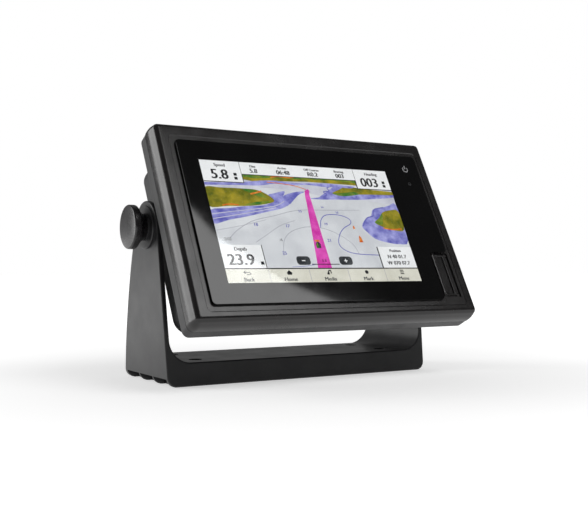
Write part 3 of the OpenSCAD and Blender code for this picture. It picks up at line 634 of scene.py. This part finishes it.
def smooth(points, steps=5, closed=False):
    """Catmull-Rom curve through the points."""
    n = len(points)
    out = []
    spans = n if closed else n - 1
    for i in range(spans):
        p = [points[(i + k) % n] if closed else points[min(max(i + k, 0), n - 1)] for k in (-1, 0, 1, 2)]
        for s in range(steps):
            t = s / steps
            out.append(tuple(0.5 * (2 * p[1][c] + (p[2][c] - p[0][c]) * t
                                    + (2 * p[0][c] - 5 * p[1][c] + 4 * p[2][c] - p[3][c]) * t * t
                                    + (3 * p[1][c] - p[0][c] - 3 * p[2][c] + p[3][c]) * t ** 3) for c in (0, 1)))
    if not closed:
        out.append(points[-1])
    return out


def stroke(points, width, material, layer, steps=5):
    """A line of even width through the points."""
    path = smooth(points, steps) if steps > 1 else points
    for (x0, z0), (x1, z1) in zip(path, path[1:]):
        length = math.hypot(x1 - x0, z1 - z0)
        if length < 1e-6:
            continue
        nx, nz = -(z1 - z0) / length * width / 2, (x1 - x0) / length * width / 2
        flat([(x0 - nx, z0 - nz), (x1 - nx, z1 - nz), (x1 + nx, z1 + nz), (x0 + nx, z0 + nz)], material, layer)


def write(words, x, z, size, material, layer, align="CENTER", bold=0.0, stretch=1.0):
    """Generic words and numbers of the picture, as flat shapes; a bold one is drawn twice, side by side."""
    curve = bpy.data.curves.new("words", "FONT")
    curve.body = words
    curve.size = size
    curve.align_x = align
    curve.resolution_u = 3
    o = bpy.data.objects.new("words", curve)
    scene.collection.objects.link(o)
    data = applied(o)
    turned = Matrix.Rotation(math.pi / 2, 4, "X") @ Matrix.Diagonal((stretch, 1, 1, 1))
    shifts = (-bold, 0.0, bold) if bold else (0.0,)
    for step, shift in enumerate(shifts):
        y = PICTURE_Y - LAYER * (layer + 0.2 * step)
        corner = (PICTURE_X - PICTURE_W / 2 + x + shift, y, PICTURE_Z - PICTURE_H / 2 + z)
        copy = data.copy()
        copy.transform(Matrix.Translation(corner) @ turned)
        before = len(picture.faces)
        picture.from_mesh(copy)
        picture.faces.ensure_lookup_table()
        for face in picture.faces[before:]:
            face.material_index = PICTURE.index(material)
        bpy.data.meshes.remove(copy)
    bpy.data.meshes.remove(data)


W, H = PICTURE_W, PICTURE_H
block2(0, 0, W, H, WATER, 0)
# far shore and the water before it
flat([(0, 74), (29, 78), (62, 80), (100, 79), (W, 76), (W, 62), (120, 66), (96, 66), (76, 70), (48, 72), (20, 69), (0, 68)],
     FAR_WATER, 1)
flat([(28, 84), (28, 78), (38, 76.5), (50, 77.5), (64, 79), (80, 78.5), (94, 79), (108, 78), (124, 77.5), (124, 84)], LAND, 2)
flat([(30, 80), (40, 79), (52, 80), (66, 81.5), (84, 80.5), (104, 81), (122, 79.5), (122, 82.5), (30, 83)], GREEN, 3)
stroke([(52, 80.5), (58, 81.5), (66, 81), (72, 82)], 0.9, ORANGE, 4)
flat(smooth([(0, 74), (14, 74.5), (28, 75.5), (44, 77.5), (56, 78), (70, 77), (84, 77.5), (98, 78), (112, 77), (120, 76.5),
             (116, 75), (104, 75.5), (94, 75), (80, 76), (66, 75), (54, 75.5), (42, 73.5), (26, 73), (12, 72.5), (0, 72)],
            3, True), SHALLOW, 5)
# land on the left with its shallows
flat(smooth([(0, 53), (14, 55), (28, 57), (40, 58), (52, 62), (60, 67), (70, 70), (76, 70), (70, 67), (62, 60), (54, 56),
             (42, 53), (26, 49), (12, 46), (0, 43)], 3, True), SHALLOW, 2)
stroke([(0, 50), (16, 52.5), (34, 55), (50, 58), (58, 62)], 0.5, FAR_WATER, 3)
stroke([(0, 46.5), (16, 49.5), (34, 53), (50, 56.5)], 0.5, FAR_WATER, 3)
flat(smooth([(46, 66), (52, 68), (60, 70), (58, 66), (52, 62), (47, 60)], 3, True), SHALLOW, 3)
flat(smooth([(0, 70), (12, 70.5), (26, 70.5), (38, 70), (46, 66.5), (50, 61.5), (40, 58.5), (28, 57), (14, 56.5), (0, 56)],
            4, True), LAND, 4)
flat(smooth([(28, 70), (36, 70), (40, 68), (45, 64), (40, 64.5), (34, 67)], 3, True), GREEN, 5)
flat(smooth([(26, 57.5), (36, 60.5), (48, 61.5), (40, 58.8)], 3, True), GREEN, 5)
stroke([(33, 66.5), (37, 67.5), (42, 69)], 1.2, ORANGE, 6)
stroke([(10, 57), (16, 58), (22, 57.5)], 1.0, ORANGE, 6)
# land on the right with its shallows
flat(smooth([(79, 65), (88, 64.5), (100, 65), (118, 65.5), (136, 67), (W, 69), (W, 73), (130, 72), (112, 76), (102, 76),
             (96, 70), (88, 66.5)], 3, True), SHALLOW, 2)
stroke([(90, 66.5), (94, 68.5), (92, 71), (97, 72), (96, 74.5), (102, 76)], 0.8, BLUE_INK, 3)
flat(smooth([(99, 70), (105, 73), (112, 76), (122, 75.5), (136, 74.5), (W, 73.5), (W, 71), (136, 70.5), (122, 70), (108, 68)],
            3, True), LAND, 4)
flat(smooth([(99, 70), (106, 70.5), (118, 72), (122, 70.2), (108, 68)], 3, True), GREEN, 5)
flat(smooth([(116, 44), (121, 50), (127, 53), (130, 58), (138, 59.5), (146, 62), (W, 62), (W, 33), (144, 30), (134, 31),
             (124, 34), (119, 39)], 3, True), SHALLOW, 2)
stroke([(117, 44), (122, 50.5), (129, 53), (131, 58), (140, 60)], 0.8, BLUE_INK, 3)
flat(smooth([(128, 47), (133, 51), (138, 56), (146, 58), (W, 57), (W, 42), (144, 41), (136, 43)], 3, True), LAND, 4)
flat(smooth([(128, 47), (133, 51), (137, 55), (136, 50), (134, 45.5)], 3, True), GREEN, 5)
stroke([(134, 43), (141, 41.8), (150, 42.5)], 1.0, ORANGE, 6)
# depth contours, soundings and buoys
stroke([(10, 33), (17, 39), (30, 46), (46, 50), (66, 55), (90, 56), (118, 57)], 0.35, LINE, 1)
stroke([(28, 30), (38, 36), (50, 43), (62, 47)], 0.3, LINE, 1)
stroke([(46, 20), (49, 31), (56, 38), (68, 42), (80, 42), (92, 38), (103, 30), (106, 22)], 0.35, LINE, 1)
stroke([(0, 38), (20, 42), (40, 47)], 0.25, LINE, 1)
stroke([(81, 42), (83, 48), (88, 52), (98, 52.5), (106, 50), (107, 46), (100, 42), (95, 37), (92, 30), (95, 25), (104, 22),
        (124, 21)], 0.6, BLUE_INK, 3)
stroke([(70, 14), (60, 12.5), (50, 12)], 0.3, BLUE_INK, 3)
for value, x, z, size in (("18", 31, 42, 3.4), ("17", 55, 41.5, 3.4), ("15", 68, 53.5, 2.8), ("14", 87, 57.5, 2.2),
                          ("16", 98, 53.5, 2.6), ("21", 85, 31, 3.4), ("25", 47, 21, 3.4), ("19", 86, 44, 2.8),
                          ("12", 62, 60, 2.0)):
    write(value, x, z, size, BLUE_INK, 4, bold=0.1)
write("2/05", 8, 31, 3.0, INK, 4)
write("/6", 47, 31, 3.0, INK, 4)
flat([(109.4, 31), (112.8, 31), (112, 35), (111, 36.5), (110.2, 35)], ORANGE, 5)
flat([(107.6, 41.5), (109.4, 41.5), (109, 44), (108, 44)], ORANGE, 5)
# course line and own boat
flat([(69.5, 11), (80.5, 11), (79.3, 30), (78.6, 50), (78.6, 66), (80.5, 71), (79.5, 72.5), (76.5, 71), (75.6, 66), (74.6, 50),
      (72.2, 30)], MAGENTA, 6)
stroke([(78, 72), (70, 74.5), (58, 76), (48, 76.5)], 0.6, ORANGE, 7)
flat([(73.2, 26), (76.6, 26), (76.9, 29), (75, 32), (73.0, 29)], KEY_GREY, 8)
flat([(73.2, 26), (74.8, 26), (74.8, 30.5), (73.2, 28.5)], GREEN, 9)
flat([(72.6, 31), (77.4, 31), (76.6, 32.4), (73.4, 32.4)], ORANGE, 9)
# zoom keys
for x0, sign in ((54.5, "-"), (88.0, "+")):
    key = rect_loop(10.6, 6.4, 2.2, 2.2, 4)
    flat([(x0 + 5.3 + x, 16.6 + z) for x, z in key], KEY_GREY, 8)
    block2(x0 + 4.0, 16.2, x0 + 6.6, 16.9, WHITE, 9)
    if sign == "+":
        block2(x0 + 4.95, 15.2, x0 + 5.65, 17.9, WHITE, 9)
block2(65.5, 13.6, 87.5, 14.2, INK, 8)
write("0.8", 76, 15.6, 3.0, INK, 9)
# data boxes
for x0, z0, x1, z1, cut in ((0, 75.3, 30, H, 0), (30, 82, 122.6, H, 0), (122.6, 75.3, W, H, 0),
                            (0, 11.2, 30.6, 27.8, 0), (123, 11.2, W, 27.6, 0)):
    block2(max(x0 - 0.6, 0), z0 - 0.6, min(x1 + 0.6, W), z1, INK, 10)
    block2(x0 + (0.3 if x0 else 0), z0, x1, z1, WHITE, 11)
for words, x, z, size in (("Speed", 15, 87.0, 3.4), ("Dist", 40, 87.6, 2.7), ("Arrive", 63, 87.6, 2.7),
                          ("Off Course", 87, 87.6, 2.7), ("Bearing", 110, 87.6, 2.7), ("Heading", 138, 86.8, 3.4),
                          ("Depth", 15, 23.6, 3.6), ("Position", 137.6, 23.6, 3.0)):
    write(words, x, z, size, INK, 12, bold=0.14)
for words, x, z, size, bold in (("5.8", 13.5, 77.4, 10.6, 0.34), ("003", 134.6, 77.2, 10.4, 0.34), ("23.9", 13.8, 13.4, 11.2, 0.34),
                                ("5.8", 40, 83.3, 4.8, 0.2), ("06:48", 63, 83.3, 4.8, 0.2), ("R0.2", 87, 83.3, 4.8, 0.2),
                                ("003", 110, 83.3, 4.8, 0.2), ("N 40 01.7", 137.6, 18.6, 4.0, 0.16),
                                ("W 070 07.7", 137.6, 13.6, 4.0, 0.16)):
    write(words, x, z, size, INK, 12, bold=bold)
for x, z in ((25.2, 81.2), (25.2, 78.2), (147.2, 81.2), (147.2, 78.2), (28.6, 14.6)):
    block2(x - 1.2, z - 1.0, x + 1.2, z + 1.2, INK, 12)
# key bar along the bottom
block2(0, 0, W, 10.6, CREAM, 10)
block2(0, 10.4, W, 11.2, INK, 11)
for x in (31.5, 62, 92.6, 123):
    block2(x - 0.15, 0.6, x + 0.15, 10.0, LINE, 11)
for words, x in (("Back", 16), ("Home", 46.5), ("Media", 77), ("Mark", 107.6), ("Menu", 137.6)):
    write(words, x, 1.7, 3.9, KEY_GREY, 12, bold=0.14)
stroke([(14, 8), (17.4, 8), (18.2, 7.2), (17.4, 6.4), (15, 6.4)], 0.5, INK, 12, 1)
flat([(12.8, 8), (14.4, 9.2), (14.4, 6.9)], INK, 12)
flat([(44.4, 7.6), (46.5, 9.6), (48.6, 7.6), (48, 7.6), (48, 6.2), (45, 6.2), (45, 7.6)], INK, 12)
flat([(75.4, 6.2), (77.2, 6.2), (77.2, 8.6), (79.0, 9.2), (79.0, 7.2), (78.2, 6.8), (78.2, 9.8), (76.8, 9.4), (76.8, 7.4),
      (75.4, 7.0)], INK, 12)
flat([(107.6 + 1.5 * math.cos(a * math.pi / 4), 7.9 + 1.5 * math.sin(a * math.pi / 4)) for a in range(8)], INK, 12)
for k in range(3):
    block2(136.0, 6.2 + 1.3 * k, 139.2, 6.9 + 1.3 * k, INK, 12)

bmesh.ops.remove_doubles(picture, verts=picture.verts, dist=0.0001)
screen_data = bpy.data.meshes.new("screen_picture")
picture.to_mesh(screen_data)
picture.free()
screen_data.transform(HEAD)
for material in PICTURE:
    screen_data.materials.append(material)
screen = bpy.data.objects.new("screen_picture", screen_data)
scene.collection.objects.link(screen)
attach(screen, "head")

# ---------------------------------------------------------------- marks printed on the glass

MARK = moulded("glass_mark", (0.30, 0.30, 0.31), (0.38, 0.38, 0.39), (0.4, 0.5), 1500.0, 0.00001)
bm = bmesh.new()


def mark_ring(cx, cz, r0, r1, a0, a1, steps=16):
    inner_arc = arc(cx, cz, r0, a0, a1, steps)
    outer_arc = arc(cx, cz, r1, a0, a1, steps)
    for i in range(steps):
        bm.faces.new([bm.verts.new((x, GLASS_Y - 0.02, z)) for x, z in
                      (inner_arc[i], outer_arc[i], outer_arc[i + 1], inner_arc[i + 1])])


mark_ring(86.8, 45.9, 1.7, 2.5, 130, 410)
bm.faces.new([bm.verts.new((x, GLASS_Y - 0.02, z)) for x, z in ((86.4, 46.2), (87.2, 46.2), (87.2, 49.2), (86.4, 49.2))])
finish_piece("key_mark", bm, HEAD, [MARK], "head", (), 30)

SENSOR = moulded("sensor_window", (0.05, 0.05, 0.055), (0.08, 0.08, 0.085), (0.3, 0.4), 1500.0, 0.00001)
bm = bmesh.new()
mark_ring(86.4, 33.2, 0.9, 1.3, 0, 360)
finish_piece("sensor_mark", bm, HEAD, [SENSOR], "head", (), 30)

# ---------------------------------------------------------------- card door

DOOR_U, DOOR_V = (83.6, 98.9), (-58.9, -24.9)
outline = [(DOOR_U[0], DOOR_V[0]), (96.05, DOOR_V[0]), (96.05, -56.2), (DOOR_U[1], -56.2), (DOOR_U[1], -27.6),
           (96.05, -27.6), (96.05, DOOR_V[1]), (DOOR_U[0], DOOR_V[1])]
door = bevelled(combined(prism(outline, -0.2, 1.6), [box_bm((87.6, -1.0, -56.4), (95.6, 0.1, -27.4))], "DIFFERENCE"), 0.25, 2)
rib = prism([(85.0, -58.2), (95.9, -58.2), (95.9, -25.6), (85.0, -25.6)], -1.0, 0.2)
rib = bevelled(combined(rib, [box_bm((86.2, -3.0, -56.4), (94.9, 1.0, -27.2))], "DIFFERENCE"), 0.3, 2)
grip = bevelled(combined(prism([(83.6, -57.9), (86.2, -57.9), (86.2, -25.9), (83.6, -25.9)], GLASS_Y, 0.4), [], "UNION"), 0.9, 4)
bm = bmesh.new()
for data in (door, rib, grip):
    bm.from_mesh(data)
finish_piece("door_leaf", bm, HEAD, [BEZEL_GLOSS], "card_door", ["card_door"], 35)

# ---------------------------------------------------------------- bracket

BASE_W, BASE_D, BASE_T, ARM_T = 210.0, 75.0, 15.5, 3.5
FLARE, TOP_R = 3.2, 17.6
slope = FLARE / AXIS_Z
top_z = AXIS_Z + 2 * TOP_R
inner_x = BASE_W / 2 - ARM_T + slope * (BASE_T + 15.0)
half = arc(BASE_W / 2 - 6.5, 6.5, 6.5, -90, 0, 10) + [(BASE_W / 2 + slope * top_z, top_z)]
half += [(inner_x + slope * (top_z - BASE_T - 15.0), top_z)]
half += [(x, z) for x, z in arc(inner_x - 15.0, BASE_T + 15.0, 15.0, 0, -90, 16)]
front_outline = half + [(-x, z) for x, z in half[::-1]]

foot = Vector((-BASE_D / 2, 0))
axis_point = Vector((AXIS_Y, AXIS_Z))
bow = Vector((-295.0, -28.7))
span = axis_point - foot
turn = math.atan2(span.y, span.x) + math.asin(TOP_R / span.length)
tangent_angle = math.degrees(turn) + 90.0
back_direction = math.degrees(math.atan2(axis_point.y - bow.y, axis_point.x - bow.x))
bow_r = (axis_point - bow).length + TOP_R
low_angle = math.degrees(math.asin(-bow.y / bow_r))
side_outline = [(foot.x, foot.y)]
side_outline += arc(AXIS_Y, AXIS_Z, TOP_R, tangent_angle, back_direction, 28)
side_outline += arc(bow.x, bow.y, bow_r, back_direction, low_angle, 24)[1:]

body_data = combined(prism(front_outline, -60.0, 60.0), [prism(side_outline, -130.0, 130.0, "X")], "INTERSECT")
body_data = bevelled(body_data, 1.7, 5, 40)
pads = []
for sign in (-1, 1):
    pad = bmesh.new()
    revolve(pad, [(0, 104.2), (14.5, 104.2), (14.5, 108.9), (14.1, 109.3), (0, 109.3)], sign, 64, (AXIS_Y, AXIS_Z))
    bmesh.ops.recalc_face_normals(pad, faces=pad.faces)
    pads.append(pad)
body_data = combined(body_data, pads, "UNION")
cuts = []
for sign in (-1, 1):
    hole = bmesh.new()
    revolve(hole, [(0, 100.0), (4.5, 100.0), (4.5, 112.0), (0, 112.0)], sign, 48, (AXIS_Y, AXIS_Z))
    bmesh.ops.recalc_face_normals(hole, faces=hole.faces)
    cuts.append(hole)
    for y in (-19.0, 19.0):
        cuts.append(disc_bm((sign * 77.0, y), 2.6, -1.0, 6.0, "Z"))
        cuts.append(disc_bm((sign * 77.0, y), 4.6, 4.0, 20.0, "Z"))
    pitch = (BASE_D - 4.0 - 1.6) / 3
    for i in range(3):
        y0 = 2.0 - BASE_D / 2 + 0.8 + i * pitch
        low, high = sorted((sign * (BASE_W / 2 - 9), sign * (BASE_W / 2 + 1)))
        cuts.append(box_bm((low, y0, -1.0), (high, y0 + pitch - 1.6, 5.2)))
    low, high = sorted((sign * 1.0, sign * 67.0))
    cuts.append(box_bm((low, -33.5, -1.0), (high, 33.5, 12.5)))
    low, high = sorted((sign * 69.0, sign * 87.0))
    cuts.append(box_bm((low, -9.0, -1.0), (high, 9.0, 12.5)))
body_data = combined(body_data, cuts, "DIFFERENCE")
bm = bmesh.new()
bm.from_mesh(body_data)
finish_piece("bail_bracket", bm, ROW, [BRACKET_NYLON], "bracket", ["bracket"], 34)

# ---------------------------------------------------------------- knobs

for sign, side in ((-1, "left"), (1, "right")):
    bm = bmesh.new()
    profile = [(4.0, 110.3), (8.3, 110.3), (8.8, 110.8), (9.6, 112.2), (10.8, 113.7), (12.4, 115.1), (13.6, 115.9)]
    profile += arc(13.5, 117.2, 1.2, -60, 0, 4)
    profile += [(14.7, 119.0)] + arc(13.5, 120.0, 1.2, 0, 80, 6)
    dome_r = (13.5 ** 2 + 1.0) / 2
    profile += [(r, 122.2 - dome_r + math.sqrt(dome_r ** 2 - r ** 2)) for r in (12.6, 11, 9, 7, 5, 3, 1.2, 0)]
    revolve(bm, profile, sign, 96, (PIVOT_Y, PIVOT_UP))
    finish_piece(f"knob_{side}_cap", bm, HEAD, [KNOB_SATIN], f"knob_{side}", [f"knob_{side}"], 32)

# ---------------------------------------------------------------- stage and light

floor_bm = bmesh.new()
bmesh.ops.create_grid(floor_bm, x_segments=8, y_segments=8, size=6.0)
floor_data = bpy.data.meshes.new("floor")
floor_bm.to_mesh(floor_data)
floor_bm.free()
floor = bpy.data.objects.new("floor", floor_data)
scene.collection.objects.link(floor)
n = Nodes("floor_paper")
n.link(n.colours(n.noise(3.0), (0.80, 0.80, 0.80), (0.82, 0.82, 0.82)), n.bsdf.inputs["Base Color"])
n.set(Roughness=0.9, Specular_IOR_Level=0.1, Emission_Color=(1, 1, 1, 1))
where = n.tree.nodes.new("ShaderNodeTexCoord")
reach = n.tree.nodes.new("ShaderNodeVectorMath")
reach.operation = "LENGTH"
glow = n.tree.nodes.new("ShaderNodeMapRange")
for name, value in (("From Min", 0.12), ("From Max", 0.7), ("To Min", 0.55), ("To Max", 1.05)):
    glow.inputs[name].default_value = value
n.tree.links.new(where.outputs["Object"], reach.inputs[0])
n.tree.links.new(reach.outputs["Value"], glow.inputs["Value"])
n.tree.links.new(glow.outputs["Result"], n.bsdf.inputs["Emission Strength"])
floor_data.materials.append(n.material)

world = bpy.data.worlds.new("studio")
scene.world = world
world.use_nodes = True
tree = world.node_tree
tree.nodes.clear()
out = tree.nodes.new("ShaderNodeOutputWorld")
backdrop = tree.nodes.new("ShaderNodeBackground")
backdrop.inputs["Color"].default_value = (1, 1, 1, 1)
backdrop.inputs["Strength"].default_value = 1.0
room = tree.nodes.new("ShaderNodeBackground")
coords = tree.nodes.new("ShaderNodeTexCoord")
split = tree.nodes.new("ShaderNodeSeparateXYZ")
grade = tree.nodes.new("ShaderNodeMapRange")
grade.inputs["From Min"].default_value = -0.15
grade.inputs["From Max"].default_value = 0.75
grade.inputs["To Min"].default_value = 0.10
grade.inputs["To Max"].default_value = 0.30
tree.links.new(coords.outputs["Generated"], split.inputs["Vector"])
tree.links.new(split.outputs["Y"], grade.inputs["Value"])
tree.links.new(grade.outputs["Result"], room.inputs["Strength"])
path = tree.nodes.new("ShaderNodeLightPath")
mix = tree.nodes.new("ShaderNodeMixShader")
tree.links.new(path.outputs["Is Camera Ray"], mix.inputs["Fac"])
tree.links.new(room.outputs["Background"], mix.inputs[1])
tree.links.new(backdrop.outputs["Background"], mix.inputs[2])
tree.links.new(mix.outputs["Shader"], out.inputs["Surface"])


def softbox(name, place, target, size, power, spread=180.0):
    light = bpy.data.lights.new(name, "AREA")
    light.shape = "RECTANGLE"
    light.size, light.size_y = size
    light.energy = power
    light.spread = math.radians(spread)
    o = bpy.data.objects.new(name, light)
    scene.collection.objects.link(o)
    o.location = place
    o.rotation_euler = (Vector(place) - Vector(target)).to_track_quat("Z", "Y").to_euler()
    return o


def lay_flat(light, turn):
    """Turns a softbox to face straight down, with its sides at an angle to the room."""
    light.rotation_euler = (0, 0, math.radians(turn))


lay_flat(softbox("key", (0.69, -1.37, 1.5), (0.69, -1.37, 0.0), (1.5, 0.8), 15.0), -29.5)
softbox("edge", (-1.3, 0.95, 0.5), (0, 0, 0.08), (0.8, 1.2), 12.0)
